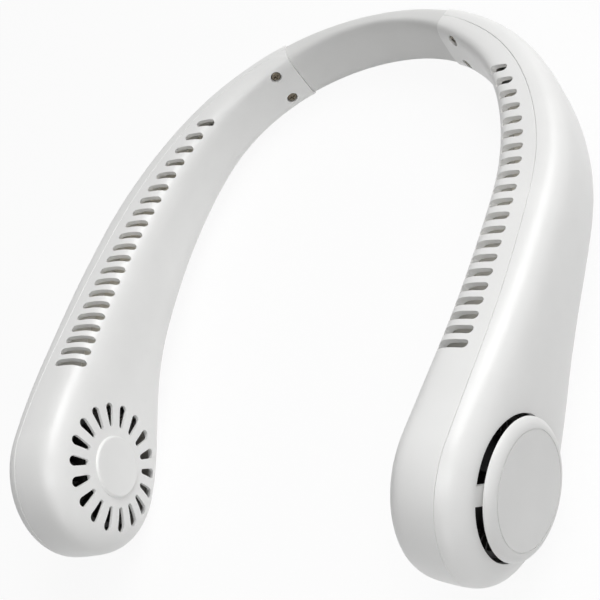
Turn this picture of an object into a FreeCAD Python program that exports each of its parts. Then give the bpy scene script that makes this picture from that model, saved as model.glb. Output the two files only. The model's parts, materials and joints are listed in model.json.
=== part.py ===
import FreeCAD, Part
import math
import os

# Neck fan: two hollow arms with a blower in each front end, joined behind the neck by a bendable band.
# Millimetres and degrees. The arms are drawn level, with the blower axes at height 0, the middle of the
# nape at x = y = 0, the fronts towards -Y and the right arm at +X. The last step lays the fan on a table.

V = FreeCAD.Vector
UP = V(0, 0, 1)

# Plan of one arm: tangent arcs from the middle of the nape to the round front end
NECK_RADIUS = 81.0
NECK_TURN = 63.5
SHOULDER_RADIUS = 114.5
SHOULDER_TURN = 25.5
CHEST_RADIUS = 515.0
CHEST_TURN = 10.0

# Section of the arm at five stations from nape to front end
STATION_SHARES = (0.0, 0.28, 0.52, 0.76, 1.0)
NAPE_HEIGHT = 24.0
COLLAR_HEIGHT = 23.6
MIDDLE_HEIGHT = 29.6
CHEST_HEIGHT = 39.2
POD_HEIGHT = 58.9
NAPE_THICKNESS = 8.0
COLLAR_THICKNESS = 16.0
MIDDLE_THICKNESS = 25.1
CHEST_THICKNESS = 27.1
POD_THICKNESS = 28.3
NAPE_RISE = 6.5
COLLAR_RISE = 7.3
MIDDLE_RISE = 5.4
CHEST_RISE = 5.4
SECTION_POWER = 3.8

# Half shells and their lipped parting line
WALL = 2.0
FIT = 0.12
SEAM_GAP = 0.12
SEAM_GROOVE = 0.12
SEAM_OFFSET_NAPE = -0.6
SEAM_OFFSET_POD = 5.7
LIP_DEPTH = 1.0
LIP_LENGTH = 1.4

# Neck band, its spring strip and its wires
BAND_ARC = 36.4
BAND_STEP = 0.5
BAND_GAP = 0.1
STRIP_WIDTH = 8.0
STRIP_THICKNESS = 0.6
STRIP_OFFSET = 1.1
STRIP_OVERLAP = 5.0
HARNESS_DIAMETER = 2.2
HARNESS_OFFSET = -1.4
INSERT_LENGTH = 15.0
INSERT_TONGUE = 8.0
INSERT_TONGUE_INSET = 1.6
PLUG_LENGTH = 6.0
PLUG_WIDTH = 6.0
PLUG_HEIGHT = 4.0

# Screws that hold each arm's end together
SCREW_ARC = 45.0
SCREW_HIGH_SHARE = 0.60
SCREW_LOW_SHARE = 0.46
SCREW_DIAMETER = 2.0
SCREW_LENGTH = 7.0
SCREW_HEAD_DIAMETER = 3.9
SCREW_HEAD_HEIGHT = 1.2
SCREW_SINK = 0.5
SCREW_WALL = 1.0
SCREW_PAD_HEIGHT = 2.4
HEAD_ROUND_SHARE = 0.4
CROSS_SHARE = 0.6
CROSS_WIDTH = 0.55
CROSS_DEPTH = 0.6

# Air slots along the top of each arm, on the side that faces the neck
SLOT_COUNT = 21
SLOT_FIRST_REACH = 39.6
SLOT_FIRST_PITCH = 6.35
SLOT_LAST_PITCH = 5.0
SLOT_SLANT = 0.55
SLOT_WIDTH = 2.9
SLOT_START_ANGLE_FIRST = 102.0
SLOT_START_ANGLE_LAST = 88.0
SLOT_END_ANGLE = 133.5

# Blower: grille, cap, impeller, motor and scroll, all about one axis
BLOWER_SETBACK = 0.9
BLOWER_DROP = 0.7
GRILLE_SLOTS = 18
GRILLE_INNER_RADIUS = 14.3
GRILLE_OUTER_RADIUS = 22.9
GRILLE_INNER_WIDTH = 1.9
GRILLE_OUTER_WIDTH = 3.6
GRILLE_WALL = 1.1
GRILLE_MARGIN = 0.4
GRILLE_DISC_RADIUS = 11.0
GRILLE_DISC_RISE = 1.0
GRILLE_DISC_EDGE = 0.9
INTAKE_RADIUS = 21.4
INTAKE_HUB_RADIUS = 15.0
INTAKE_SPOKES = 3
INTAKE_SPOKE_WIDTH = 5.6
INTAKE_SPOKE_ANGLE = 32.0
CAP_RADIUS = 20.8
CAP_RISE = 3.5
CAP_LIFT = 0.95
CAP_SHOULDER = 3.4
CAP_SHOULDER_DROP = 2.0
CAP_EDGE = 0.3
CAP_WALL = 1.5
CAP_LINE_RADIUS = 17.4
CAP_LINE_WIDTH = 0.35
CAP_LINE_DEPTH = 0.2
CAP_PEGS = 3
CAP_PEG_DIAMETER = 3.0
CAP_PEG_CIRCLE = 11.0
CAP_PEG_GRIP = 0.8
CAP_COLLAR_DIAMETER = 5.0
MOTOR_DIAMETER = 18.0
MOTOR_LENGTH = 9.0
MOTOR_POSTS = 3
MOTOR_POST_CIRCLE = 12.0
MOTOR_POST_DIAMETER = 3.4
MOTOR_POST_HEIGHT = 1.2
MOTOR_PLATE_DIAMETER = 28.0
MOTOR_PLATE_THICKNESS = 1.2
MOTOR_SCREW_DIAMETER = 1.4
MOTOR_SCREW_LENGTH = 2.6
MOTOR_SCREW_HEAD_DIAMETER = 2.4
MOTOR_SCREW_HEAD_HEIGHT = 0.7
SHAFT_DIAMETER = 2.0
SHAFT_FIT = 0.02
RUNNING_GAP = 0.8
BLADE_COUNT = 32
BLADE_INNER_RADIUS = 15.0
BLADE_OUTER_RADIUS = 20.5
BLADE_THICKNESS = 0.7
BLADE_LEAN = 9.0
BLADE_LENGTH = 17.6
BLADE_RING_WIDTH = 1.8
BLADE_RING_THICKNESS = 0.8
WEB_THICKNESS = 1.2
HUB_DIAMETER = 6.0
HUB_LENGTH = 3.0
CUP_WALL = 1.0
SCROLL_GAP = 1.5
SCROLL_WALL = 1.2
SCROLL_TONGUE_ANGLE = 262.0
SCROLL_TURN = 262.0
SCROLL_STEPS = 12

# Duct floor, battery and leads inside the arm
DIVIDER_RISE = 1.0
DIVIDER_THICKNESS = 1.2
DIVIDER_START_ARC = 78.0
DIVIDER_POD_GAP = 25.5
BATTERY_ARC = 174.0
BATTERY_LENGTH = 46.0
BATTERY_WIDTH = 16.0
BATTERY_THICKNESS = 10.0
BATTERY_ROUND = 2.0
PAD_SEAT = 0.3
PAD_LENGTH = 36.0
PAD_WIDTH = 9.0
LEAD_DIAMETER = 1.4
LEAD_WALL_GAP = 0.4
LEAD_DROP = -6.0
LEAD_LANE = 1.3
LEAD_EXIT = 5.0
LEAD_SLACK = 20.0
LEAD_BEND_SHARE = 0.45
LEAD_NOTCH = 5.6

# Control board of the right arm, seen from the floor of the arm upwards
BOARD_ARC = 119.0
BOARD_LENGTH = 38.0
BOARD_WIDTH = 12.0
BOARD_THICKNESS = 1.0
CONTROL_OFFSET = 2.0
BUTTON_DIAMETER = 6.4
BUTTON_PROUD = 0.6
BUTTON_FLANGE = 0.8
BUTTON_FLANGE_THICKNESS = 0.6
BUTTON_TRAVEL = 0.5
BUTTON_GAP = 0.15
FLOOR_ROOM = 0.8
PLUNGER_DIAMETER = 2.8
PLUNGER_LENGTH = 1.6
PLUNGER_SEAT = 0.02
SWITCH_SIZE = 6.0
SWITCH_HEIGHT = 2.8
USB_OFFSET = 9.5
USB_LENGTH = 8.9
USB_WIDTH = 3.3
USB_WALL = 0.3
USB_SINK = 0.5
USB_TONGUE_THICKNESS = 0.7
USB_TONGUE_MARGIN = 1.1
LENS_OFFSET = -8.5
LENS_DIAMETER = 2.2
LED_SIZE = 2.0
LED_HEIGHT = 1.0
CHIP_SIZE = 4.0
CHIP_HEIGHT = 1.0
BOARD_POST_SPACING = 33.0
BOARD_POST_DIAMETER = 3.4
BOARD_SCREW_DIAMETER = 1.4
BOARD_SCREW_LENGTH = 4.0
BOARD_SCREW_HEAD_DIAMETER = 2.6
BOARD_SCREW_HEAD_HEIGHT = 0.8

# Fineness of the drawn curves, overshoot of cutting tools, and what counts as touching
CURVE_STEPS = 8
ARM_SPANS = 14
ARM_END_SPAN = 4.0
BAND_SPANS = 8
FLOOR_STEPS = 8
LANE_STEPS = 6
INSERT_SPANS = 3
TONGUE_SPANS = 2
SOLVE_STEPS = 30
PAST = 1.0
NEAR = 1e-6

PLAN_ARCS = ((NECK_RADIUS, NECK_TURN), (SHOULDER_RADIUS, SHOULDER_TURN), (CHEST_RADIUS, CHEST_TURN))
POD_ARC = sum(radius * math.radians(turn) for radius, turn in PLAN_ARCS)
ARM_START = BAND_ARC + BAND_GAP / 2
THROUGH_WALL = 3 * WALL


# Plan and section of the arm

def through_stations(values, s):
    """Smooth curve through the five station values, level at both ends."""
    knots = [share * POD_ARC for share in STATION_SHARES]
    s = min(abs(s), POD_ARC)
    last = len(knots) - 1
    span = max(k for k in range(last) if knots[k] <= s)
    slopes = [0.0] * (last + 1)
    for k in range(1, last):
        slopes[k] = (values[k + 1] - values[k - 1]) / (knots[k + 1] - knots[k - 1])
    width = knots[span + 1] - knots[span]
    x = (s - knots[span]) / width
    start = values[span] * (2 * x**3 - 3 * x**2 + 1) + slopes[span] * width * (x**3 - 2 * x**2 + x)
    end = values[span + 1] * (3 * x**2 - 2 * x**3) + slopes[span + 1] * width * (x**3 - x**2)
    return start + end


def half_height(s):
    return through_stations((NAPE_HEIGHT, COLLAR_HEIGHT, MIDDLE_HEIGHT, CHEST_HEIGHT, POD_HEIGHT), s) / 2


def half_thickness(s):
    sizes = (NAPE_THICKNESS, COLLAR_THICKNESS, MIDDLE_THICKNESS, CHEST_THICKNESS, POD_THICKNESS)
    return through_stations(sizes, s) / 2


def rise(s):
    return through_stations((NAPE_RISE, COLLAR_RISE, MIDDLE_RISE, CHEST_RISE, 0.0), s)


def seam_offset(s):
    return SEAM_OFFSET_NAPE + (SEAM_OFFSET_POD - SEAM_OFFSET_NAPE) * min(s / POD_ARC, 1.0)


def plan(s):
    """Plan position and heading at arc length s from the middle of the nape; negative s is the left side."""
    x, y, heading = 0.0, 0.0, 0.0
    left = abs(s)
    for radius, turn in PLAN_ARCS:
        step = min(left, radius * math.radians(turn))
        end = heading + step / radius
        x += radius * (math.sin(end) - math.sin(heading))
        y += radius * (math.cos(end) - math.cos(heading))
        heading = end
        left -= step
    return math.copysign(x, s), y, math.copysign(heading, s)


def directions(s):
    """Unit vectors along the arm and outward from it, both level."""
    heading = plan(s)[2]
    onward = V(math.cos(heading), -math.sin(heading), 0)
    outward = V(math.sin(heading), math.cos(heading), 0)
    return onward, outward


def place(s, u, w):
    """Point of the section at s: u outward and w up from the section's middle."""
    x, y = plan(s)[:2]
    outward = directions(s)[1]
    return V(x, y, rise(s) + w) + outward * u


def outline_height(s, u, depth):
    """Height of the outline above the section's middle at the outward offset u, sunk by depth."""
    share = min(abs(u) / (half_thickness(s) - depth), 1.0)
    return (half_height(s) - depth) * (1 - share**SECTION_POWER) ** (1 / SECTION_POWER)


def outline_width(s, w, depth):
    """Half width of the outline at the height w from the section's middle, sunk by depth."""
    share = min(abs(w) / (half_height(s) - depth), 1.0)
    return (half_thickness(s) - depth) * (1 - share**SECTION_POWER) ** (1 / SECTION_POWER)


def outline_angle(s, u, depth):
    """Angle of the outline's upper point at the outward offset u."""
    share = u / (half_thickness(s) - depth)
    return math.degrees(math.atan2((1 - abs(share) ** SECTION_POWER) ** (1 / SECTION_POWER), share))


def outline_offsets(s, angle, depth):
    """Outward and upward offsets of the outline at an angle: 0 is outward, 90 up, 180 towards the neck."""
    cosine = math.cos(math.radians(angle))
    sine = math.sin(math.radians(angle))
    size = (abs(cosine) ** SECTION_POWER + abs(sine) ** SECTION_POWER) ** (-1 / SECTION_POWER)
    return (half_thickness(s) - depth) * cosine * size, (half_height(s) - depth) * sine * size


def outline_curve(s, first, last, depth):
    """Edge along the outline from one angle to another."""
    points = []
    for k in range(CURVE_STEPS + 1):
        u, w = outline_offsets(s, first + (last - first) * k / CURVE_STEPS, depth)
        points.append(place(s, u, w))
    curve = Part.BSplineCurve()
    curve.interpolate(Points=points, Parameters=[k / CURVE_STEPS for k in range(CURVE_STEPS + 1)])
    return curve.toShape()


def line_edges(points):
    return [Part.LineSegment(a, b).toShape() for a, b in zip(points[:-1], points[1:])]


def polygon_face(points):
    return Part.Face(Part.Wire(line_edges(points + points[:1])))


# Arm forms: a loft along the arm, closed at the front by the same section turned half round

def arm_stations(start):
    """Arc lengths of the sections, evenly spread up to a short last span at the front end."""
    step = (POD_ARC - ARM_END_SPAN - start) / ARM_SPANS
    return [start + step * k for k in range(ARM_SPANS + 1)] + [POD_ARC]


def loft(wires):
    return Part.makeLoft(wires, True, False)


def full_outline(s, depth):
    return Part.Wire([outline_curve(s, first, first + 90, depth) for first in (0, 90, 180, 270)])


def turned_end(edges):
    """Front end of an arm: the upper half of a section turned half round about the end's axis."""
    face = Part.Face(Part.Wire(edges))
    outward = directions(POD_ARC)[1]
    return face.revolve(place(POD_ARC, 0, 0), outward, 180)


def arm_form(depth, start):
    """The arm as one solid, sunk by depth all round, from start to the front end."""
    body = loft([full_outline(s, depth) for s in arm_stations(start)])
    reach = half_thickness(POD_ARC) - depth
    axis = line_edges([place(POD_ARC, -reach, 0), place(POD_ARC, reach, 0)])
    upper = [outline_curve(POD_ARC, 0, 90, depth), outline_curve(POD_ARC, 90, 180, depth)]
    return body.fuse(turned_end(upper + axis))


def seam_steps(s, outer):
    """Offsets and depths of the parting step, from the outside of the wall to the inside."""
    if outer:
        face = seam_offset(s) + SEAM_GAP / 2
        lip = face + LIP_LENGTH + FIT
        ledge = LIP_DEPTH
        brink = face + SEAM_GROOVE
    else:
        face = seam_offset(s) - SEAM_GAP / 2
        lip = face + LIP_LENGTH
        ledge = LIP_DEPTH + FIT
        brink = face - SEAM_GROOVE
    return ((brink, 0.0), (face, SEAM_GROOVE), (face, ledge), (lip, ledge), (lip, WALL))


def half_shell_edges(s, outer, side):
    """Upper (side 1) or lower (side -1) half of a half shell's section, from its outer face to its inner."""
    middle = 0 if outer else 180
    steps = seam_steps(s, outer)
    angles = []
    for u, depth in (steps[0], steps[-1]):
        angle = outline_angle(s, u, depth)
        angles.append(angle if side > 0 else 2 * middle - angle)
    corners = [place(s, u, side * outline_height(s, u, depth)) for u, depth in steps]
    outside = outline_curve(s, middle, angles[0], 0.0)
    inside = outline_curve(s, angles[1], middle, WALL)
    return [outside] + line_edges(corners) + [inside]


def half_shell(outer):
    """One half of an arm's casing, with its parting lip, before anything is cut in it."""
    wires = []
    for s in arm_stations(ARM_START):
        upper = half_shell_edges(s, outer, 1)
        lower = half_shell_edges(s, outer, -1)
        wires.append(Part.Wire(Part.sortEdges(upper + lower)[0]))
    sign = 1 if outer else -1
    reach = half_thickness(POD_ARC)
    axis = line_edges([place(POD_ARC, sign * (reach - WALL), 0), place(POD_ARC, sign * reach, 0)])
    return loft(wires).fuse(turned_end(half_shell_edges(POD_ARC, outer, 1) + axis))


# Local frames: pieces are drawn about their own origin and set into the arm

def frame(origin, x_axis, y_axis, z_axis):
    matrix = FreeCAD.Matrix(
        x_axis.x, y_axis.x, z_axis.x, origin.x,
        x_axis.y, y_axis.y, z_axis.y, origin.y,
        x_axis.z, y_axis.z, z_axis.z, origin.z,
        0, 0, 0, 1)
    return FreeCAD.Placement(matrix)


def set_in(shape, placement):
    shape = shape.copy()
    shape.Placement = placement.multiply(shape.Placement)
    return shape


def station_frame(s, w):
    """Frame at a section: x up, y along the arm, z outward."""
    onward, outward = directions(s)
    return frame(place(s, 0, w), UP, onward, outward)


def blower_frame():
    onward, outward = directions(POD_ARC)
    return frame(place(POD_ARC, 0, -BLOWER_DROP) - onward * BLOWER_SETBACK, UP, onward, outward)


def floor_point(s):
    return place(s, 0, WALL - half_height(s))


def floor_frame(middle, length):
    """Frame on the arm's inside floor under a straight piece: x towards the neck, y along it, z up."""
    along = (floor_point(middle + length / 2) - floor_point(middle - length / 2)).normalize()
    up = (UP - along * UP.dot(along)).normalize()
    return frame(floor_point(middle), along.cross(up), along, up)


def resting_height(middle, length, width):
    """Least height above the floor at which a straight piece of this width clears the rounded inside."""
    local = floor_frame(middle, length).inverse()
    heights = []
    for k in range(FLOOR_STEPS + 1):
        s = middle + length * (k / FLOOR_STEPS - 0.5)
        floor = local.multVec(floor_point(s))
        corner = half_height(s) - WALL - outline_height(s, width / 2 + abs(floor.x), WALL)
        heights.append(floor.z + corner)
    return max(heights)


def cylinder(diameter, low, high, x=0.0, y=0.0):
    return Part.makeCylinder(diameter / 2, high - low, V(x, y, low), V(0, 0, 1))


def box(x_size, y_size, low, high, x=0.0, y=0.0):
    return Part.makeBox(x_size, y_size, high - low, V(x - x_size / 2, y - y_size / 2, low))


def ring(outer, inner, low, high):
    return cylinder(outer, low, high).cut(cylinder(inner, low - PAST, high + PAST))


def stadium(length, width, low, high, x=0.0, y=0.0):
    """Upright bar with round ends, long along y."""
    shape = box(width, length - width, low, high, x, y)
    ends = [cylinder(width, low, high, x, y + side * (length - width) / 2) for side in (-1, 1)]
    return shape.fuse(ends).removeSplitter()


def around(shape, count, first=0.0):
    """Copies of a shape turned about the local z axis."""
    copies = []
    for k in range(count):
        copy = shape.copy()
        copy.rotate(V(0, 0, 0), V(0, 0, 1), first + 360.0 * k / count)
        copies.append(copy)
    return copies


def tube(points, diameter):
    """Round lead along straight runs joined by tangent arcs."""
    edges = []
    begin = points[0]
    for before, corner, after in zip(points[:-2], points[1:-1], points[2:]):
        back = before - corner
        ahead = after - corner
        trim = LEAD_BEND_SHARE * min(back.Length, ahead.Length)
        back.normalize()
        ahead.normalize()
        half = math.acos(back.dot(ahead)) / 2
        bisector = (back + ahead).normalize()
        crest = corner + bisector * (trim / math.cos(half) - trim * math.tan(half))
        edges.append(Part.LineSegment(begin, corner + back * trim).toShape())
        edges.append(Part.Arc(corner + back * trim, crest, corner + ahead * trim).toShape())
        begin = corner + ahead * trim
    edges.append(Part.LineSegment(begin, points[-1]).toShape())
    start = (points[1] - points[0]).normalize()
    circle = Part.Wire(Part.Circle(points[0], start, diameter / 2).toShape())
    return Part.Wire(edges).makePipeShell([circle], True, False)


# Screws

def cross_screw(diameter, length, head_diameter, head_height):
    """Pan-head screw along z: the head stands on z = 0 towards -z, the shank goes towards +z."""
    head = cylinder(head_diameter, -head_height, 0)
    rim = [edge for edge in head.Edges if abs(edge.CenterOfMass.z + head_height) < NEAR]
    head = head.makeFillet(head_height * HEAD_ROUND_SHARE, rim)
    screw = head.fuse(cylinder(diameter, 0, length))
    arm = head_diameter * CROSS_SHARE
    bars = [box(arm, CROSS_WIDTH, -head_height - PAST, CROSS_DEPTH - head_height)]
    bars.append(box(CROSS_WIDTH, arm, -head_height - PAST, CROSS_DEPTH - head_height))
    return screw.cut(bars)


def end_screw_frames():
    """Frames of the two screws near the arm's end: z outward, origin on the seat of the screw's head."""
    frames = []
    for share in (SCREW_HIGH_SHARE, -SCREW_LOW_SHARE):
        w = share * half_height(SCREW_ARC)
        surface = -outline_width(SCREW_ARC, w, 0.0)
        seat = surface + SCREW_SINK + SCREW_HEAD_HEIGHT
        onward, outward = directions(SCREW_ARC)
        frames.append(frame(place(SCREW_ARC, seat, w), UP, onward, outward))
    return frames


def end_screw_limit():
    """Middle of the casing's wall all round the end screws, which their pads and posts stay inside."""
    return span_loft(SCREW_ARC - PAD_DIAMETER, SCREW_ARC + PAD_DIAMETER, WALL / 2, INSERT_SPANS)


def end_screws():
    screw = cross_screw(SCREW_DIAMETER, SCREW_LENGTH, SCREW_HEAD_DIAMETER, SCREW_HEAD_HEIGHT)
    return [set_in(screw, placement) for placement in end_screw_frames()]


SCREW_BORE = SCREW_DIAMETER + 2 * FIT
SCREW_WELL = SCREW_HEAD_DIAMETER + 4 * FIT
POST_DIAMETER = SCREW_BORE + 2 * SCREW_WALL
PAD_DIAMETER = SCREW_WELL + 2 * SCREW_WALL


# Blower heights along its axis, outward from the middle of the end

INNER_FACE = WALL - POD_THICKNESS / 2
OUTER_FACE = POD_THICKNESS / 2 - WALL
PLATE_LOW = INNER_FACE + MOTOR_POST_HEIGHT
PLATE_HIGH = PLATE_LOW + MOTOR_PLATE_THICKNESS
MOTOR_HIGH = PLATE_HIGH + MOTOR_LENGTH
WEB_LOW = MOTOR_HIGH + RUNNING_GAP
WEB_HIGH = WEB_LOW + WEB_THICKNESS
BLADE_LOW = -BLADE_LENGTH / 2
BLADE_HIGH = BLADE_LENGTH / 2
CUP_LOW = PLATE_HIGH + MOTOR_SCREW_HEAD_HEIGHT + 2 * RUNNING_GAP


def grille_slot():
    """One wedge slot of the inner grille, wider and round at its outer end."""
    inner = GRILLE_INNER_WIDTH / 2
    outer = GRILLE_OUTER_WIDTH / 2
    near = GRILLE_INNER_RADIUS + inner
    far = GRILLE_OUTER_RADIUS - outer
    lean = math.asin((outer - inner) / (far - near))
    low = -POD_THICKNESS / 2 - PAST

    def corner(radius, half_width, side):
        return V(radius - half_width * math.sin(lean), side * half_width * math.cos(lean), low)

    sides = [[corner(near, inner, side), corner(far, outer, side)] for side in (1, -1)]
    edges = [Part.LineSegment(*sides[0]).toShape(), Part.LineSegment(*sides[1]).toShape()]
    edges.append(Part.Arc(sides[0][1], V(far + outer, 0, low), sides[1][1]).toShape())
    edges.append(Part.Arc(sides[0][0], V(near - inner, 0, low), sides[1][0]).toShape())
    outline = Part.Face(Part.Wire(Part.sortEdges(edges)[0]))
    return outline.extrude(V(0, 0, THROUGH_WALL))


def grille_disc():
    """Plain raised disc in the middle of the grille, with a soft edge."""
    crest = -POD_THICKNESS / 2 - GRILLE_DISC_RISE
    disc = cylinder(2 * GRILLE_DISC_RADIUS, crest, INNER_FACE - WALL / 2)
    edges = [edge for edge in disc.Edges if abs(edge.CenterOfMass.z - crest) < NEAR]
    return disc.makeFillet(GRILLE_DISC_EDGE, edges)


def grille_thinning():
    """Ring behind the grille where the wall is thinner, cut from the inside."""
    reach = GRILLE_OUTER_RADIUS + GRILLE_MARGIN
    hub = GRILLE_INNER_RADIUS - GRILLE_MARGIN
    zone = set_in(ring(2 * reach, 2 * hub, -POD_THICKNESS, INNER_FACE + THROUGH_WALL), blower_frame())
    return zone.common(arm_form(GRILLE_WALL, POD_ARC - 2 * reach))


def station_at(reach, angle):
    """Station at which the skin, at one angle of its outline, is this far in front of the nape."""
    s = reach
    for _ in range(SOLVE_STEPS):
        s += reach + place(s, *outline_offsets(s, angle, 0.0)).y
    return s


def air_slot(k):
    """One slot through the top of the arm, across the fan from near the parting line to the neck's side."""
    share = k / (SLOT_COUNT - 1)
    pitch = SLOT_FIRST_PITCH - (SLOT_FIRST_PITCH - SLOT_LAST_PITCH) * share / 2
    reach = SLOT_FIRST_REACH + pitch * k
    start_angle = SLOT_START_ANGLE_FIRST + (SLOT_START_ANGLE_LAST - SLOT_START_ANGLE_FIRST) * share
    ends = []
    for angle, slant in ((start_angle, SLOT_SLANT), (SLOT_END_ANGLE, -SLOT_SLANT)):
        s = station_at(reach + slant, angle)
        ends.append(place(s, *outline_offsets(s, angle, 0.0)))
    start, end = ends
    along = (end - start).normalize()
    onward = directions(station_at(reach, start_angle))[0]
    upward = onward.cross(along).normalize()
    tool = stadium((end - start).Length, SLOT_WIDTH, -THROUGH_WALL, THROUGH_WALL)
    return set_in(tool, frame((start + end) * 0.5, along.cross(upward), along, upward))


def intake_sectors():
    """Openings round the cap: a ring with spokes left across it."""
    low = OUTER_FACE - THROUGH_WALL
    high = POD_THICKNESS
    tool = ring(2 * INTAKE_RADIUS, 2 * INTAKE_HUB_RADIUS, low, high)
    spoke = box(INTAKE_RADIUS * 2, INTAKE_SPOKE_WIDTH, low - PAST, high + PAST, x=INTAKE_RADIUS)
    return tool.cut(around(spoke, INTAKE_SPOKES, INTAKE_SPOKE_ANGLE))


def cap_peg_tools(diameter, low, high):
    return around(cylinder(diameter, low, high, x=CAP_PEG_CIRCLE), CAP_PEGS)


# Casing pieces

def inner_shell():
    shell = half_shell(False)
    blower = blower_frame()
    root = INNER_FACE - WALL / 2
    post = cylinder(MOTOR_POST_DIAMETER, root, PLATE_LOW, x=MOTOR_POST_CIRCLE)
    bodies = [set_in(copy, blower) for copy in around(post, MOTOR_POSTS)] + [set_in(grille_disc(), blower)]
    limit = end_screw_limit()
    for placement in end_screw_frames():
        pad = cylinder(PAD_DIAMETER, -WALL, SCREW_PAD_HEIGHT)
        bodies.append(set_in(pad, placement).common(limit))
    slots = [air_slot(k) for k in range(SLOT_COUNT)]
    wedges = [set_in(slot, blower) for slot in around(grille_slot(), GRILLE_SLOTS)]
    wells = [set_in(cylinder(SCREW_WELL, -THROUGH_WALL, 0), placement) for placement in end_screw_frames()]
    bore = cylinder(MOTOR_SCREW_DIAMETER + 2 * SHAFT_FIT, root, PLATE_LOW + PAST, x=MOTOR_POST_CIRCLE)
    tools = [set_in(copy, blower) for copy in around(bore, MOTOR_POSTS)] + [grille_thinning()]
    for placement in end_screw_frames():
        tools.append(set_in(cylinder(SCREW_BORE, -PAST, SCREW_PAD_HEIGHT + PAST), placement))
    return shell.fuse(bodies).cut(slots + wedges + wells + tools)


def control_shell(shell):
    """Inner shell with the board's posts and the openings for the controls."""
    floor = floor_frame(BOARD_ARC, BOARD_LENGTH)
    posts = [set_in(post, floor) for post in board_posts()]
    holes = [set_in(hole, floor) for hole in control_holes()]
    return shell.fuse(posts).cut(holes)


def outer_shell():
    shell = half_shell(True)
    blower = blower_frame()
    bodies = []
    sectors = [set_in(solid, blower) for solid in intake_sectors().Solids]
    tools = [set_in(hole, blower) for hole in cap_peg_tools(CAP_PEG_DIAMETER + 2 * FIT, 0, POD_THICKNESS)]
    limit = end_screw_limit()
    for placement in end_screw_frames():
        post = cylinder(POST_DIAMETER, SCREW_PAD_HEIGHT + FIT, 2 * half_thickness(SCREW_ARC))
        bodies.append(set_in(post, placement).common(limit))
        tools.append(set_in(cylinder(SCREW_DIAMETER + 2 * SHAFT_FIT, 0, SCREW_LENGTH + FIT), placement))
    return shell.fuse(bodies).cut(sectors + tools)


def intake_cap():
    """Round lid that floats over the intake, on collars and pegs through the hub."""
    middle = POD_THICKNESS / 2
    top = middle + CAP_RISE
    low = middle + CAP_LIFT
    crest = top - CAP_SHOULDER_DROP
    flat = CAP_RADIUS - CAP_SHOULDER
    bore = CAP_RADIUS - CAP_WALL
    bend = (CAP_SHOULDER ** 2 + CAP_SHOULDER_DROP ** 2) / (2 * CAP_SHOULDER_DROP)
    halfway = math.asin(CAP_SHOULDER / bend) / 2
    shoulder_middle = V(flat + bend * math.sin(halfway), 0, top - bend * (1 - math.cos(halfway)))
    shoulder = Part.Arc(V(flat, 0, top), shoulder_middle, V(CAP_RADIUS, 0, crest))
    rim = [V(CAP_RADIUS, 0, crest), V(CAP_RADIUS, 0, low), V(bore, 0, low), V(bore, 0, top - CAP_WALL)]
    inside = [V(0, 0, top - CAP_WALL), V(0, 0, top), V(flat, 0, top)]
    profile = Part.Wire([shoulder.toShape()] + line_edges(rim + inside))
    lid = Part.Face(profile).revolve(V(0, 0, 0), V(0, 0, 1), 360)
    outer_edges = [edge for edge in lid.Edges if abs(edge.CenterOfMass.z - crest) < NEAR]
    lid = lid.makeFillet(CAP_EDGE, outer_edges)
    line_middle = 2 * CAP_LINE_RADIUS
    line = ring(line_middle + CAP_LINE_WIDTH, line_middle - CAP_LINE_WIDTH, top - CAP_LINE_DEPTH, top + PAST)
    seat = top - CAP_WALL / 2
    pegs = cap_peg_tools(CAP_PEG_DIAMETER, OUTER_FACE - CAP_PEG_GRIP, seat)
    collars = cap_peg_tools(CAP_COLLAR_DIAMETER, middle + FIT, seat)
    return set_in(lid.cut(line).fuse(pegs + collars), blower_frame())


# Blower pieces

def motor_plate():
    plate = cylinder(MOTOR_PLATE_DIAMETER, PLATE_LOW, PLATE_HIGH)
    hole = cylinder(MOTOR_SCREW_DIAMETER + 2 * FIT, PLATE_LOW - PAST, PLATE_HIGH + PAST, x=MOTOR_POST_CIRCLE)
    return set_in(plate.cut(around(hole, MOTOR_POSTS)), blower_frame())


def motor_screws():
    head = (MOTOR_SCREW_HEAD_DIAMETER, MOTOR_SCREW_HEAD_HEIGHT)
    screw = cross_screw(MOTOR_SCREW_DIAMETER, MOTOR_SCREW_LENGTH, *head)
    screw.rotate(V(0, 0, 0), V(1, 0, 0), 180)
    screw.translate(V(MOTOR_POST_CIRCLE, 0, PLATE_HIGH))
    return [set_in(copy, blower_frame()) for copy in around(screw, MOTOR_POSTS)]


def motor():
    can = cylinder(MOTOR_DIAMETER, PLATE_HIGH, MOTOR_HIGH)
    rim = [edge for edge in can.Edges if edge.CenterOfMass.z > MOTOR_HIGH - NEAR]
    can = can.makeFillet(RUNNING_GAP, rim)
    bore = cylinder(SHAFT_DIAMETER + 2 * SHAFT_FIT, PLATE_HIGH + RUNNING_GAP, MOTOR_HIGH + PAST)
    return set_in(can.cut(bore), blower_frame())


def motor_shaft():
    shaft = cylinder(SHAFT_DIAMETER, PLATE_HIGH + 2 * RUNNING_GAP, WEB_HIGH + HUB_LENGTH)
    return set_in(shaft, blower_frame())


def blade():
    """One blade, a thin arc that leans forward between the inner and the outer radius."""
    lean = math.radians(BLADE_LEAN)
    half = BLADE_THICKNESS / 2
    middle = (BLADE_INNER_RADIUS + BLADE_OUTER_RADIUS) / 2

    def spot(radius, turn, side):
        return V(radius * math.cos(turn), radius * math.sin(turn) + side * half, BLADE_LOW)

    sides = []
    for side in (-1, 1):
        near = spot(BLADE_INNER_RADIUS, 0, side)
        bulge = spot(middle, -lean / 4, side)
        far = spot(BLADE_OUTER_RADIUS - half, lean / 2, side)
        sides.append((near, bulge, far))
    edges = [Part.Arc(*points).toShape() for points in sides]
    edges += line_edges([sides[0][0], sides[1][0]])
    edges += line_edges([sides[0][2], sides[1][2]])
    return Part.Face(Part.Wire(Part.sortEdges(edges)[0])).extrude(V(0, 0, BLADE_LENGTH))


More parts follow.
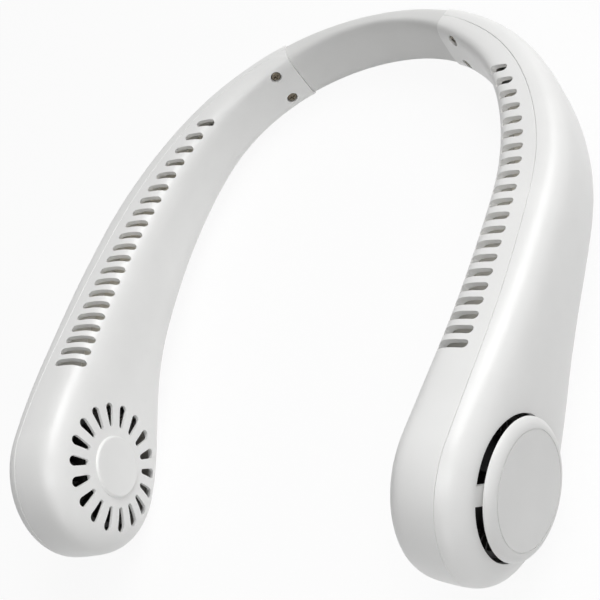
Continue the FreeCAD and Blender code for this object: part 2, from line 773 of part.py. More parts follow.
def impeller():
    """Double-inlet cage: a cup over the motor, a web in the middle and blades between two rings."""
    outer = 2 * BLADE_OUTER_RADIUS
    cup_bore = MOTOR_DIAMETER + 2 * RUNNING_GAP
    web = cylinder(outer, WEB_LOW, WEB_HIGH)
    pieces = [ring(cup_bore + 2 * CUP_WALL, cup_bore, CUP_LOW, WEB_LOW)]
    pieces.append(cylinder(HUB_DIAMETER, WEB_HIGH, WEB_HIGH + HUB_LENGTH))
    for low in (BLADE_LOW, BLADE_HIGH - BLADE_RING_THICKNESS):
        pieces.append(ring(outer, outer - 2 * BLADE_RING_WIDTH, low, low + BLADE_RING_THICKNESS))
    pieces += around(blade(), BLADE_COUNT)
    bore = cylinder(SHAFT_DIAMETER + 2 * SHAFT_FIT, WEB_LOW - PAST, WEB_HIGH + HUB_LENGTH + PAST)
    return set_in(web.fuse(pieces).cut(bore), blower_frame())


def blower_scroll(inside):
    """Spiral wall round the impeller that opens into the duct above the divider."""
    first = BLADE_OUTER_RADIUS + SCROLL_GAP
    last = POD_HEIGHT / 2 - WALL - SCROLL_WALL - BLOWER_SETBACK - BLOWER_DROP
    low = INNER_FACE - PAST
    curves = []
    for extra in (0.0, SCROLL_WALL):
        points = []
        for k in range(SCROLL_STEPS + 1):
            share = k / SCROLL_STEPS
            turn = math.radians(SCROLL_TONGUE_ANGLE - SCROLL_TURN * share)
            radius = first + (last - first) * share + extra
            points.append(V(radius * math.cos(turn), radius * math.sin(turn), low))
        curve = Part.BSplineCurve()
        curve.interpolate(points)
        curves.append((curve.toShape(), points))
    ends = [line_edges([curves[0][1][k], curves[1][1][k]])[0] for k in (0, -1)]
    wire = Part.Wire(Part.sortEdges([curves[0][0], curves[1][0]] + ends)[0])
    wall = Part.Face(wire).extrude(V(0, 0, POD_THICKNESS))
    notch = box(LEAD_NOTCH, 2 * BLADE_OUTER_RADIUS, low - PAST, lead_height() + LEAD_DIAMETER,
                x=LEAD_DROP, y=-BLADE_OUTER_RADIUS - SCROLL_GAP)
    return set_in(wall.cut(notch), blower_frame()).common(inside)


# Band pieces

def band_frame():
    return frame(place(0, 0, 0) - V(0, NECK_RADIUS, 0), V(1, 0, 0), V(0, 1, 0), UP)


def band_arc_sweep(face_points, reach):
    """A section swept round the neck's centre, to the same arc length on both sides."""
    turn = math.degrees(reach / NECK_RADIUS)
    face = polygon_face([V(0, NECK_RADIUS + u, w) for u, w in face_points])
    face.rotate(V(0, 0, 0), V(0, 0, 1), turn)
    return set_in(face.revolve(V(0, 0, 0), V(0, 0, 1), -2 * turn), band_frame())


def strip_sweep(extra, reach):
    low = STRIP_OFFSET - STRIP_THICKNESS / 2 - extra
    high = STRIP_OFFSET + STRIP_THICKNESS / 2 + extra
    half = STRIP_WIDTH / 2 + extra
    return band_arc_sweep([(low, -half), (high, -half), (high, half), (low, half)], reach)


def harness_sweep(extra, reach):
    turn = math.degrees(reach / NECK_RADIUS)
    middle = V(0, NECK_RADIUS + HARNESS_OFFSET, 0)
    face = Part.Face(Part.Wire(Part.Circle(middle, V(1, 0, 0), HARNESS_DIAMETER / 2 + extra).toShape()))
    face.rotate(V(0, 0, 0), V(0, 0, 1), turn)
    return set_in(face.revolve(V(0, 0, 0), V(0, 0, 1), -2 * turn), band_frame())


def span_loft(first, last, depth, spans):
    stations = [first + (last - first) * k / spans for k in range(spans + 1)]
    return loft([full_outline(s, depth) for s in stations])


def band_pocket(side, extra):
    """Tongue of the end insert, or with extra room the pocket that takes it."""
    depth = BAND_STEP + INSERT_TONGUE_INSET - extra
    ends = (BAND_ARC - INSERT_TONGUE - extra, BAND_ARC + PAST)
    return span_loft(side * ends[0], side * ends[1], depth, TONGUE_SPANS)


def neck_band():
    band = span_loft(-BAND_ARC, BAND_ARC, BAND_STEP, BAND_SPANS)
    tools = [strip_sweep(FIT, BAND_ARC + PAST), harness_sweep(FIT, BAND_ARC + PAST)]
    tools += [band_pocket(side, FIT) for side in (-1, 1)]
    return band.cut(tools)


INSERT_END = ARM_START + INSERT_LENGTH


def band_insert():
    """Stiff plug in the arm's end: its tongue sits in the band, its block between the screw posts."""
    block = span_loft(ARM_START, INSERT_END, WALL + FIT, INSERT_SPANS)
    tongue_depth = BAND_STEP + INSERT_TONGUE_INSET
    tongue = span_loft(BAND_ARC - INSERT_TONGUE, ARM_START + PAST, tongue_depth, TONGUE_SPANS)
    tools = [strip_sweep(FIT, BAND_ARC + STRIP_OVERLAP + FIT), harness_sweep(FIT, INSERT_END + PLUG_LENGTH)]
    reach = 2 * half_thickness(SCREW_ARC)
    for placement in end_screw_frames():
        tools.append(set_in(cylinder(PAD_DIAMETER + 2 * FIT, -reach, reach), placement))
    return block.fuse(tongue).cut(tools)


def harness_plug():
    """Connector at the end of the band's wires, just behind the insert."""
    start = INSERT_END + FIT
    plug = box(PLUG_HEIGHT, PLUG_LENGTH, -PLUG_WIDTH / 2, PLUG_WIDTH / 2, y=PLUG_LENGTH / 2)
    return set_in(plug, station_frame(start, rise(0) - rise(start)))


# Duct floor, battery and leads

def duct_divider():
    """Floor of the air duct, fitted between the shells' inside faces."""
    start = DIVIDER_START_ARC
    end = POD_ARC - DIVIDER_POD_GAP
    wires = []
    for k in range(ARM_SPANS + 1):
        s = start + (end - start) * k / ARM_SPANS
        low = DIVIDER_RISE - DIVIDER_THICKNESS / 2
        high = DIVIDER_RISE + DIVIDER_THICKNESS / 2
        reach = outline_width(s, high, WALL) - FIT
        corners = [place(s, -reach, low), place(s, reach, low), place(s, reach, high), place(s, -reach, high)]
        wires.append(Part.Wire(line_edges(corners + corners[:1])))
    return loft(wires)


BATTERY_FRONT = BATTERY_ARC + BATTERY_LENGTH / 2
BATTERY_BACK = BATTERY_ARC - BATTERY_LENGTH / 2


def battery_low():
    return resting_height(BATTERY_ARC, BATTERY_LENGTH, BATTERY_WIDTH) + LEAD_WALL_GAP


def in_battery_bay(shape):
    return set_in(shape, floor_frame(BATTERY_ARC, BATTERY_LENGTH))


def battery():
    low = battery_low()
    cell = box(BATTERY_WIDTH, BATTERY_LENGTH, low, low + BATTERY_THICKNESS)
    edges = [edge for edge in cell.Edges if abs(edge.CenterOfMass.y) < NEAR]
    return in_battery_bay(cell.makeFillet(BATTERY_ROUND, edges))


def battery_pad():
    """Foam block that fills the gap between the rounded floor and the battery."""
    low = resting_height(BATTERY_ARC, PAD_LENGTH, PAD_WIDTH) + PAD_SEAT
    return in_battery_bay(box(PAD_WIDTH, PAD_LENGTH, low, battery_low()))


def lead_height():
    """Height on the blower axis at which the motor's leads run along the inner shell."""
    return INNER_FACE + LEAD_WALL_GAP + LEAD_DIAMETER / 2


def wall_lead_point(s):
    """Point close to the inside of the inner shell's side wall."""
    reach = outline_width(s, LEAD_DROP, WALL) - LEAD_WALL_GAP - LEAD_DIAMETER / 2
    return place(s, -reach, LEAD_DROP)


PLUG_END = INSERT_END + FIT + PLUG_LENGTH + LEAD_WALL_GAP


def lane_points(start, lane):
    """Points along the arm's floor from start back to the harness plug, at a steady sideways lane."""
    points = []
    for k in range(LANE_STEPS + 1):
        share = k / LANE_STEPS
        s = start + (PLUG_END - start) * share
        points.append(place(s, lane, NAPE_RISE - rise(s) + LEAD_DROP / 2 * (1 - share)))
    return points


def motor_leads(to_board):
    """Leads from the motor plate along the side wall and past the battery, to the board or the plug."""
    near = abs(LEAD_DROP) - LEAD_DIAMETER / 2
    edge = math.sqrt((MOTOR_PLATE_DIAMETER / 2 + FIT) ** 2 - near**2)
    blower = blower_frame()
    points = [blower.multVec(V(LEAD_DROP, -along, lead_height())) for along in (edge, edge + LEAD_EXIT)]
    for s in (BATTERY_FRONT + LEAD_EXIT, BATTERY_ARC, BATTERY_BACK - LEAD_EXIT):
        points.append(wall_lead_point(s))
    if to_board:
        points += board_lead_points(BOARD_WIDTH / 2 - LEAD_DIAMETER)
    else:
        points += lane_points(BATTERY_BACK - LEAD_SLACK, -LEAD_LANE)
    return tube(points, LEAD_DIAMETER)


def battery_leads(to_board):
    """Leads from the battery's back end to the board or the plug."""
    floor = floor_frame(BATTERY_ARC, BATTERY_LENGTH)
    height = battery_low() + BATTERY_THICKNESS / 2
    points = []
    for behind in (FIT, LEAD_EXIT):
        points.append(floor.multVec(V(-BATTERY_WIDTH / 4, -BATTERY_LENGTH / 2 - behind, height)))
    if to_board:
        points += board_lead_points(LEAD_DIAMETER - BOARD_WIDTH / 2)
    else:
        points += lane_points(BATTERY_BACK - LEAD_SLACK, LEAD_LANE)
    return tube(points, LEAD_DIAMETER)


# Control pieces of the right arm, drawn up from the inside floor

FLANGE_HIGH = FLOOR_ROOM + BUTTON_FLANGE_THICKNESS
SWITCH_LOW = FLANGE_HIGH + BUTTON_TRAVEL + BUTTON_GAP
BOARD_LOW = SWITCH_LOW + SWITCH_HEIGHT
BOARD_HIGH = BOARD_LOW + BOARD_THICKNESS
PLUNGER_LOW = FLANGE_HIGH + PLUNGER_SEAT
PLUNGER_HIGH = PLUNGER_LOW + PLUNGER_LENGTH


def on_floor(shape):
    return set_in(shape, floor_frame(BOARD_ARC, BOARD_LENGTH))


def board_ends():
    return [side * BOARD_POST_SPACING / 2 for side in (-1, 1)]


def board_posts():
    return [cylinder(BOARD_POST_DIAMETER, -WALL / 2, BOARD_LOW, CONTROL_OFFSET, y) for y in board_ends()]


def control_holes():
    """Openings in the floor for the button, the charging port and the lens, and the posts' screw bores."""
    span = (-THROUGH_WALL, FLOOR_ROOM)
    holes = [cylinder(BUTTON_DIAMETER + 2 * BUTTON_GAP, *span, CONTROL_OFFSET)]
    holes.append(stadium(USB_LENGTH + 2 * FIT, USB_WIDTH + 2 * FIT, *span, CONTROL_OFFSET, USB_OFFSET))
    holes.append(cylinder(LENS_DIAMETER + 2 * FIT, *span, CONTROL_OFFSET, LENS_OFFSET))
    bore = BOARD_SCREW_DIAMETER + 2 * SHAFT_FIT
    low = BOARD_HIGH - BOARD_SCREW_LENGTH - FIT
    return holes + [cylinder(bore, low, BOARD_LOW + PAST, CONTROL_OFFSET, y) for y in board_ends()]


def main_board():
    board = box(BOARD_WIDTH, BOARD_LENGTH, BOARD_LOW, BOARD_HIGH)
    led = box(LED_SIZE, LED_SIZE, BOARD_LOW - LED_HEIGHT, BOARD_LOW, CONTROL_OFFSET, LENS_OFFSET)
    chip = box(CHIP_SIZE, CHIP_SIZE, BOARD_HIGH, BOARD_HIGH + CHIP_HEIGHT)
    bore = BOARD_SCREW_DIAMETER + 2 * FIT
    holes = [cylinder(bore, 0, BOARD_HIGH + PAST, CONTROL_OFFSET, y) for y in board_ends()]
    return on_floor(board.fuse([led, chip]).cut(holes))


def board_screws():
    screws = []
    head = (BOARD_SCREW_HEAD_DIAMETER, BOARD_SCREW_HEAD_HEIGHT)
    for y in board_ends():
        screw = cross_screw(BOARD_SCREW_DIAMETER, BOARD_SCREW_LENGTH, *head)
        screw.rotate(V(0, 0, 0), V(1, 0, 0), 180)
        screw.translate(V(CONTROL_OFFSET, y, BOARD_HIGH))
        screws.append(on_floor(screw))
    return screws


def power_button():
    flange = cylinder(BUTTON_DIAMETER + 2 * BUTTON_FLANGE, FLOOR_ROOM, FLANGE_HIGH, CONTROL_OFFSET)
    cap = cylinder(BUTTON_DIAMETER, -WALL - BUTTON_PROUD, FLANGE_HIGH, CONTROL_OFFSET)
    rim = [edge for edge in cap.Edges if abs(edge.CenterOfMass.z + WALL + BUTTON_PROUD) < NEAR]
    return on_floor(cap.makeFillet(BUTTON_PROUD / 2, rim).fuse(flange))


def switch_plunger():
    return on_floor(cylinder(PLUNGER_DIAMETER, PLUNGER_LOW, PLUNGER_HIGH, CONTROL_OFFSET))


def tact_switch():
    body = box(SWITCH_SIZE, SWITCH_SIZE, SWITCH_LOW, BOARD_LOW, CONTROL_OFFSET)
    well = cylinder(PLUNGER_DIAMETER + 2 * FIT, 0, PLUNGER_HIGH + BUTTON_TRAVEL + BUTTON_GAP, CONTROL_OFFSET)
    return on_floor(body.cut(well))


def usb_shell():
    low = USB_SINK - WALL
    shell = stadium(USB_LENGTH, USB_WIDTH, low, BOARD_LOW, CONTROL_OFFSET, USB_OFFSET)
    mouth = stadium(USB_LENGTH - 2 * USB_WALL, USB_WIDTH - 2 * USB_WALL, low - PAST, BOARD_LOW - USB_WALL,
                    CONTROL_OFFSET, USB_OFFSET)
    return on_floor(shell.cut(mouth))


def usb_tongue():
    length = USB_LENGTH - 2 * USB_WALL - 2 * USB_TONGUE_MARGIN
    tongue = box(USB_TONGUE_THICKNESS, length, USB_SINK - WALL + USB_WALL, BOARD_LOW - USB_WALL - SHAFT_FIT,
                 CONTROL_OFFSET, USB_OFFSET)
    return on_floor(tongue)


def indicator_lens():
    return on_floor(cylinder(LENS_DIAMETER, -WALL, BOARD_LOW - LED_HEIGHT - FIT, CONTROL_OFFSET, LENS_OFFSET))


def board_lead_points(x):
    """Last points of a lead that ends on the front edge of the board."""
    floor = floor_frame(BOARD_ARC, BOARD_LENGTH)
    height = (BOARD_LOW + BOARD_HIGH) / 2
    return [floor.multVec(V(x, BOARD_LENGTH / 2 + ahead, height)) for ahead in (LEAD_EXIT, FIT)]


def harness_tail():
    """Leads from the right harness plug to the back edge of the board."""
    floor = floor_frame(BOARD_ARC, BOARD_LENGTH)
    height = (BOARD_LOW + BOARD_HIGH) / 2
    points = [place(s, 0, NAPE_RISE - rise(s)) for s in (PLUG_END, PLUG_END + LEAD_EXIT)]
    points += [floor.multVec(V(0, -BOARD_LENGTH / 2 - behind, height)) for behind in (2 * LEAD_EXIT, FIT)]
    return tube(points, LEAD_DIAMETER)


# Whole fan

def arm_pieces():
    """Pieces that both arms have, as the right arm holds them."""
    inside = arm_form(WALL + FIT, ARM_START)
    return {
        "outer_shell": outer_shell(),
        "intake_cap": intake_cap(),
        "shell_screws": Part.makeCompound(end_screws()),
        "band_insert": band_insert(),
        "harness_plug": harness_plug(),
        "impeller": impeller(),
        "motor": motor(),
        "motor_shaft": motor_shaft(),
        "motor_plate": motor_plate(),
        "motor_screws": Part.makeCompound(motor_screws()),
        "blower_scroll": blower_scroll(inside),
        "duct_divider": duct_divider(),
        "battery": battery(),
        "battery_pad": battery_pad(),
    }


def control_pieces():
    return {
        "main_board": main_board(),
        "board_screws": Part.makeCompound(board_screws()),
        "power_button": power_button(),
        "switch_plunger": switch_plunger(),
        "tact_switch": tact_switch(),
        "usb_shell": usb_shell(),
        "usb_tongue": usb_tongue(),
        "indicator_lens": indicator_lens(),
        "harness_tail": harness_tail(),
    }


def band_pieces():
    return {
        "neck_band": neck_band(),
        "band_core_strip": strip_sweep(0.0, BAND_ARC + STRIP_OVERLAP),
        "band_harness": harness_sweep(0.0, INSERT_END),
    }


def mirrored(shape):
    return shape.mirror(V(0, 0, 0), V(1, 0, 0))


def resting_placement(shapes):
    """Lay the fan down: the band comes level with the round ends, and the origin goes under the middle."""
    end = place(POD_ARC, 0, 0)
    band_low = NAPE_RISE - NAPE_HEIGHT / 2 + BAND_STEP
    slope = math.atan2(band_low, -end.y) + math.asin(POD_HEIGHT / 2 / math.hypot(end.y, band_low))
    turn = FreeCAD.Rotation(V(1, 0, 0), -math.degrees(slope))
    turned = FreeCAD.Placement(V(0, 0, 0), turn)
    bounds = [set_in(shape, turned).optimalBoundingBox(False, False) for shape in shapes]
    front = min(bound.YMin for bound in bounds)
    back = max(bound.YMax for bound in bounds)
    low = min(bound.ZMin for bound in bounds)
    return FreeCAD.Placement(V(0, -(front + back) / 2, -low), turn)


def main():
    os.makedirs("parts", exist_ok=True)
    pieces = band_pieces()
    pieces.update(control_pieces())
    for name, shape in arm_pieces().items():
        pieces["right_" + name] = shape
        pieces["left_" + name] = mirrored(shape)
    inner = inner_shell()
    pieces["right_inner_shell"] = control_shell(inner)
    pieces["left_inner_shell"] = mirrored(inner)
    pieces["right_motor_leads"] = motor_leads(True)
    pieces["left_motor_leads"] = mirrored(motor_leads(False))
    pieces["right_battery_leads"] = battery_leads(True)
    pieces["left_battery_leads"] = mirrored(battery_leads(False))
    outside = ("right_inner_shell", "right_outer_shell", "neck_band")
    resting = resting_placement([pieces[name] for name in outside])
    for name, shape in sorted(pieces.items()):
        solids = shape.Solids
        laid = set_in(solids[0] if len(solids) == 1 else Part.makeCompound(solids), resting)
        laid.exportStep("parts/%s.step" % name)
        print("%-22s solids %d valid %s volume %.1f" % (name, len(solids), laid.isValid(), laid.Volume))
    axes = {
        "right blower axis": blower_frame(),
        "neck axis": frame(place(0, 0, 0), V(1, 0, 0), V(0, 1, 0), UP),
        "button axis": floor_frame(BOARD_ARC, BOARD_LENGTH),
    }
    for name, axis in axes.items():
        laid = resting.multiply(axis)
        print(name, "through", laid.Base, "along", laid.Rotation.multVec(UP))
    print("resting placement", resting)


main()
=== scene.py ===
import json
import math

import bpy
from mathutils import Matrix, Vector


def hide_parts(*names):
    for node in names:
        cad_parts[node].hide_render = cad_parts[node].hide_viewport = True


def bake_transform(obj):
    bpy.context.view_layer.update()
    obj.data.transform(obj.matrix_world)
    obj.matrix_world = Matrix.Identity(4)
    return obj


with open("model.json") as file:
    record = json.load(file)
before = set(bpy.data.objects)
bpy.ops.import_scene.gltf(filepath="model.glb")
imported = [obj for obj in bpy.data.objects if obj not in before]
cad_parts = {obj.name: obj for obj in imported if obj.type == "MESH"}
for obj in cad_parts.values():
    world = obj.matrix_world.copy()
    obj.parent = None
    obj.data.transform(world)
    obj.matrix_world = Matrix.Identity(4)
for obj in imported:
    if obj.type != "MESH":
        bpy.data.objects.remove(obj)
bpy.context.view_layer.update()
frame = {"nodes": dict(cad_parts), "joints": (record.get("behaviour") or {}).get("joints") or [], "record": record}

MM = 0.001
nodes = frame["nodes"]
record = frame["record"]

# Camera of the photograph, in the frame of the part, with its focal length in pixels of the picture
CAMERA_TARGET = Vector((-5.26, -10.98, 20.50)) * MM
CAMERA_AZIMUTH = 57.13
CAMERA_ELEVATION = 46.74
CAMERA_ROLL = -52.81
CAMERA_DISTANCE = 440.0 * MM
PICTURE_WIDTH = 600
FOCAL_PIXELS = 1252.9
SENSOR_WIDTH = 36.0
CLIP_START = 10.0 * MM

# Studio: soft lamps, with place on the camera's axes (right, up, back), size in metres and power in watts.
# The surroundings light nothing: they are white only where they are seen, mirrored or seen through.
LAMPS = {
    "top": ((0.0, 1.0, 0.6), 0.8, 10.1),
    "front": ((0.0, 0.0, 0.6), 0.2, 0.48),
    "left": ((-0.3, 0.0, 0.55), 0.3, 0.8),
    "low": ((0.0, -0.35, 0.35), 0.2, 0.18),
}
LIGHT_BOUNCES = 10
AMBIENT = 0.0
FLOOR_SIZE = 6.0
FLOOR_COLOR = (0.86, 0.86, 0.86, 1)
FLOOR_ROUGHNESS = 0.9
FLOOR_WHITENESS = 0.92

# Finishes: sheen of all surfaces, clouds of colour and of gloss, grain and softened edges
SHEEN = 0.5
COAT_ROUGHNESS = 0.2
NOISE_LOW = 0.3
NOISE_HIGH = 0.7
CLOUD_SIZE = 18.0 * MM
CLOUD_DETAIL = 2
CLOUD_SHADE = 0.97
GLOSS_SIZE = 7.0 * MM
GLOSS_DETAIL = 3
GLOSS_SPREAD = 0.04
GRAIN_SIZE = 0.35 * MM
GRAIN_DEPTH = 0.002 * MM
GRAIN_DETAIL = 2
POUCH_GRAIN_SIZE = 0.8 * MM
FOAM_GRAIN_SIZE = 0.6 * MM
MOULDED_EDGE = 0.12 * MM
EDGE_SAMPLES = 8

# Neck band: arc behind the neck through the hinge, its section at three stations, its strip and its cable
BAND_RADIUS = 81.0 * MM
BAND_ARC = 36.4 * MM
BAND_STEP = 0.5 * MM
BAND_EDGE = 0.4 * MM
SECTION_POWER = 3.8
COLLAR_ARC = 64.6 * MM
MIDDLE_ARC = 119.9 * MM
HALF_HEIGHTS = (12.0 * MM, 11.8 * MM, 14.8 * MM)
HALF_THICKNESSES = (4.0 * MM, 8.0 * MM, 12.55 * MM)
RISES = (6.5 * MM, 7.3 * MM, 5.4 * MM)
POCKET_INSET = 1.98 * MM
POCKET_DEPTH = 8.12 * MM
BAND_SPANS = 72
BAND_SIDES = 96
EDGE_STEPS = 5
SHARP_ANGLE = 40.0
STRIP_OFFSET = 1.1 * MM
STRIP_HALF_WIDTH = 4.0 * MM
STRIP_HALF_THICKNESS = 0.3 * MM
STRIP_ARC = 41.4 * MM
HARNESS_OFFSET = -1.4 * MM
HARNESS_RADIUS = 1.1 * MM
HARNESS_ARC = 51.4 * MM
HARNESS_SIDES = 16


# Camera and studio

def camera_axes():
    """Right, up and back directions of the camera."""
    azimuth = math.radians(CAMERA_AZIMUTH)
    elevation = math.radians(CAMERA_ELEVATION)
    roll = math.radians(CAMERA_ROLL)
    flat = math.cos(elevation)
    back = Vector((math.sin(azimuth) * flat, -math.cos(azimuth) * flat, math.sin(elevation)))
    level = Vector((math.cos(azimuth), math.sin(azimuth), 0))
    upright = back.cross(level)
    right = level * math.cos(roll) + upright * math.sin(roll)
    up = upright * math.cos(roll) - level * math.sin(roll)
    return right, up, back


def axes_matrix(right, up, back, place):
    matrix = Matrix((right, up, back)).transposed().to_4x4()
    matrix.translation = place
    return matrix


def add_camera():
    data = bpy.data.cameras.new("camera")
    data.sensor_width = SENSOR_WIDTH
    data.lens = SENSOR_WIDTH * FOCAL_PIXELS / PICTURE_WIDTH
    data.clip_start = CLIP_START
    camera = bpy.data.objects.new("camera", data)
    right, up, back = camera_axes()
    camera.matrix_world = axes_matrix(right, up, back, CAMERA_TARGET + back * CAMERA_DISTANCE)
    bpy.context.scene.collection.objects.link(camera)
    bpy.context.scene.camera = camera


def add_lamp(name, place, size, power):
    """Square soft lamp that faces the target."""
    data = bpy.data.lights.new(name, "AREA")
    data.shape = "SQUARE"
    data.size = size
    data.energy = power
    lamp = bpy.data.objects.new(name, data)
    right, up, back = camera_axes()
    away = right * place[0] + up * place[1] + back * place[2]
    facing = away.to_track_quat("Z", "Y").to_matrix().to_4x4()
    lamp.matrix_world = Matrix.Translation(CAMERA_TARGET + away) @ facing
    bpy.context.scene.collection.objects.link(lamp)


def seen_ray(tree):
    """Socket that is 1 for rays that show the background: seen directly, mirrored or through glass."""
    path = tree.nodes.new("ShaderNodeLightPath")
    total = path.outputs["Is Camera Ray"]
    for name in ("Is Glossy Ray", "Is Transmission Ray"):
        add = tree.nodes.new("ShaderNodeMath")
        add.operation = "ADD"
        add.use_clamp = True
        tree.links.new(total, add.inputs[0])
        tree.links.new(path.outputs[name], add.inputs[1])
        total = add.outputs[0]
    return total


def add_world():
    world = bpy.data.worlds.new("studio")
    bpy.context.scene.world = world
    world.use_nodes = True
    tree = world.node_tree
    tree.nodes.clear()
    soft = tree.nodes.new("ShaderNodeBackground")
    soft.inputs["Strength"].default_value = AMBIENT
    white = tree.nodes.new("ShaderNodeBackground")
    for shader in (soft, white):
        shader.inputs["Color"].default_value = (1, 1, 1, 1)
    mix = tree.nodes.new("ShaderNodeMixShader")
    output = tree.nodes.new("ShaderNodeOutputWorld")
    tree.links.new(seen_ray(tree), mix.inputs["Fac"])
    tree.links.new(soft.outputs[0], mix.inputs[1])
    tree.links.new(white.outputs[0], mix.inputs[2])
    tree.links.new(mix.outputs[0], output.inputs["Surface"])


def add_floor():
    half = FLOOR_SIZE / 2
    mesh = bpy.data.meshes.new("floor")
    corners = [(-half, -half, 0), (half, -half, 0), (half, half, 0), (-half, half, 0)]
    mesh.from_pydata(corners, [], [(0, 1, 2, 3)])
    floor = bpy.data.objects.new("floor", mesh)
    bpy.context.scene.collection.objects.link(floor)
    material = bpy.data.materials.new("floor")
    material.use_nodes = True
    tree = material.node_tree
    matte = tree.nodes["Principled BSDF"]
    matte.inputs["Base Color"].default_value = FLOOR_COLOR
    matte.inputs["Roughness"].default_value = FLOOR_ROUGHNESS
    white = tree.nodes.new("ShaderNodeEmission")
    share = tree.nodes.new("ShaderNodeMath")
    share.operation = "MULTIPLY"
    share.inputs[1].default_value = FLOOR_WHITENESS
    tree.links.new(seen_ray(tree), share.inputs[0])
    mix = tree.nodes.new("ShaderNodeMixShader")
    tree.links.new(share.outputs[0], mix.inputs["Fac"])
    tree.links.new(matte.outputs[0], mix.inputs[1])
    tree.links.new(white.outputs[0], mix.inputs[2])
    tree.links.new(mix.outputs[0], tree.nodes["Material Output"].inputs["Surface"])
    mesh.materials.append(material)


# Materials: one for each slot of the record

def noise(tree, size, detail):
    """Noise over the part's own coordinates, with features of about the given size in metres."""
    place = tree.nodes.new("ShaderNodeTexCoord")
    texture = tree.nodes.new("ShaderNodeTexNoise")
    texture.inputs["Scale"].default_value = 1 / size
    texture.inputs["Detail"].default_value = detail
    tree.links.new(place.outputs["Object"], texture.inputs["Vector"])
    return texture.outputs["Fac"]


def spread(tree, source, low, high):
    """Noise from its usual middle range to the range from low to high."""
    remap = tree.nodes.new("ShaderNodeMapRange")
    remap.inputs["From Min"].default_value = NOISE_LOW
    remap.inputs["From Max"].default_value = NOISE_HIGH
    remap.inputs["To Min"].default_value = low
    remap.inputs["To Max"].default_value = high
    tree.links.new(source, remap.inputs["Value"])
    return remap.outputs["Result"]


def finish_material(name, color, roughness, grain, depth, metal=0.0, coat=0.0, edge=0.0):
    """Surface with faint clouds of colour, uneven gloss, a fine grain and, if asked, softened edges."""
    material = bpy.data.materials.new(name)
    material.use_nodes = True
    tree = material.node_tree
    shader = tree.nodes["Principled BSDF"]
    shader.inputs["Metallic"].default_value = metal
    shader.inputs["Specular IOR Level"].default_value = SHEEN
    shader.inputs["Coat Weight"].default_value = coat
    shader.inputs["Coat Roughness"].default_value = COAT_ROUGHNESS
    tint = tree.nodes.new("ShaderNodeMix")
    tint.data_type = "RGBA"
    tint.inputs["A"].default_value = [value * CLOUD_SHADE for value in color] + [1]
    tint.inputs["B"].default_value = list(color) + [1]
    clouds = spread(tree, noise(tree, CLOUD_SIZE, CLOUD_DETAIL), 0, 1)
    tree.links.new(clouds, tint.inputs["Factor"])
    tree.links.new(tint.outputs["Result"], shader.inputs["Base Color"])
    uneven = noise(tree, GLOSS_SIZE, GLOSS_DETAIL)
    gloss = spread(tree, uneven, roughness - GLOSS_SPREAD, roughness + GLOSS_SPREAD)
    tree.links.new(gloss, shader.inputs["Roughness"])
    bump = tree.nodes.new("ShaderNodeBump")
    bump.inputs["Strength"].default_value = 1.0
    bump.inputs["Distance"].default_value = depth
    tree.links.new(noise(tree, grain, GRAIN_DETAIL), bump.inputs["Height"])
    tree.links.new(bump.outputs["Normal"], shader.inputs["Normal"])
    if edge:
        soft = tree.nodes.new("ShaderNodeBevel")
        soft.samples = EDGE_SAMPLES
        soft.inputs["Radius"].default_value = edge
        tree.links.new(soft.outputs["Normal"], bump.inputs["Normal"])
    return material


def slot_materials():
    """Finish of every material slot: colour, roughness, grain size and depth, metal, coat, edge radius."""
    fine = GRAIN_SIZE
    faint = GRAIN_DEPTH
    looks = {
        "shell_white": ((0.93, 0.93, 0.92), 0.33, fine, faint, 0.0, 0.0, MOULDED_EDGE),
        "cap_white": ((0.86, 0.86, 0.85), 0.33, fine, faint, 0.0, 0.0, MOULDED_EDGE),
        # Painted shade: the band's grey stands in for the shade on its concave inner side.
        "band_silicone": ((0.8, 0.8, 0.79), 0.5, fine, 2 * faint),
        "inner_plastic": ((0.95, 0.92, 0.85), 0.5, fine, 2 * faint),
        # Painted shade: the blower scrolls are drawn dark grey so the grille's wedges look shaded inside.
        "scroll_grey": ((0.3, 0.285, 0.26), 0.5, fine, 2 * faint),
        "rotor_black": ((0.015, 0.014, 0.013), 0.45, fine, 2 * faint),
        "plate_black": ((0.02, 0.02, 0.018), 0.5, fine, 2 * faint),
        "button_grey": ((0.55, 0.55, 0.55), 0.38, fine, faint, 0.0, 0.1),
        "switch_black": ((0.02, 0.02, 0.02), 0.45, fine, 2 * faint),
        "connector_white": ((0.75, 0.73, 0.67), 0.45, fine, 2 * faint),
        "cable_black": ((0.02, 0.02, 0.02), 0.42, fine, 3 * faint),
        "cable_red": ((0.45, 0.03, 0.02), 0.42, fine, 3 * faint),
        "board_green": ((0.02, 0.16, 0.06), 0.4, fine, 3 * faint, 0.0, 0.2),
        "battery_pouch": ((0.6, 0.61, 0.63), 0.35, POUCH_GRAIN_SIZE, 10 * faint, 0.9),
        "foam_grey": ((0.1, 0.1, 0.1), 0.9, FOAM_GRAIN_SIZE, 40 * faint),
        "motor_can": ((0.6, 0.6, 0.6), 0.32, fine, 2 * faint, 1.0),
        # Partly painted shade: a dark metal for the screws, drawn darker still to stand in for the shade in their
        # recesses.
        "screw_steel": ((0.15, 0.13, 0.1), 0.28, fine, 3 * faint, 1.0),
        "spring_steel": ((0.5, 0.5, 0.5), 0.3, fine, 2 * faint, 1.0),
        "port_steel": ((0.66, 0.66, 0.66), 0.26, fine, 2 * faint, 1.0),
        "lens_clear": ((0.75, 0.8, 0.8), 0.15, fine, faint, 0.0, 0.3),
    }
    return {slot: finish_material(slot, *look) for slot, look in looks.items()}


def dress_nodes(materials):
    for subpart in record["subparts"]:
        node = nodes[subpart["node"]]
        node.material_slots[0].material = materials[subpart["material_slot"]]


# Neck band with its strip and cable, curved round the nape at the hinge behind the neck

HINGE = next(joint for joint in frame["joints"] if joint["name"] == "neck_flex")
NAPE = Vector(HINGE["pos_m"])
SIDEWAYS = Vector((1, 0, 0))
UPWARD = Vector(HINGE["axis"]).normalized()
REARWARD = UPWARD.cross(SIDEWAYS)


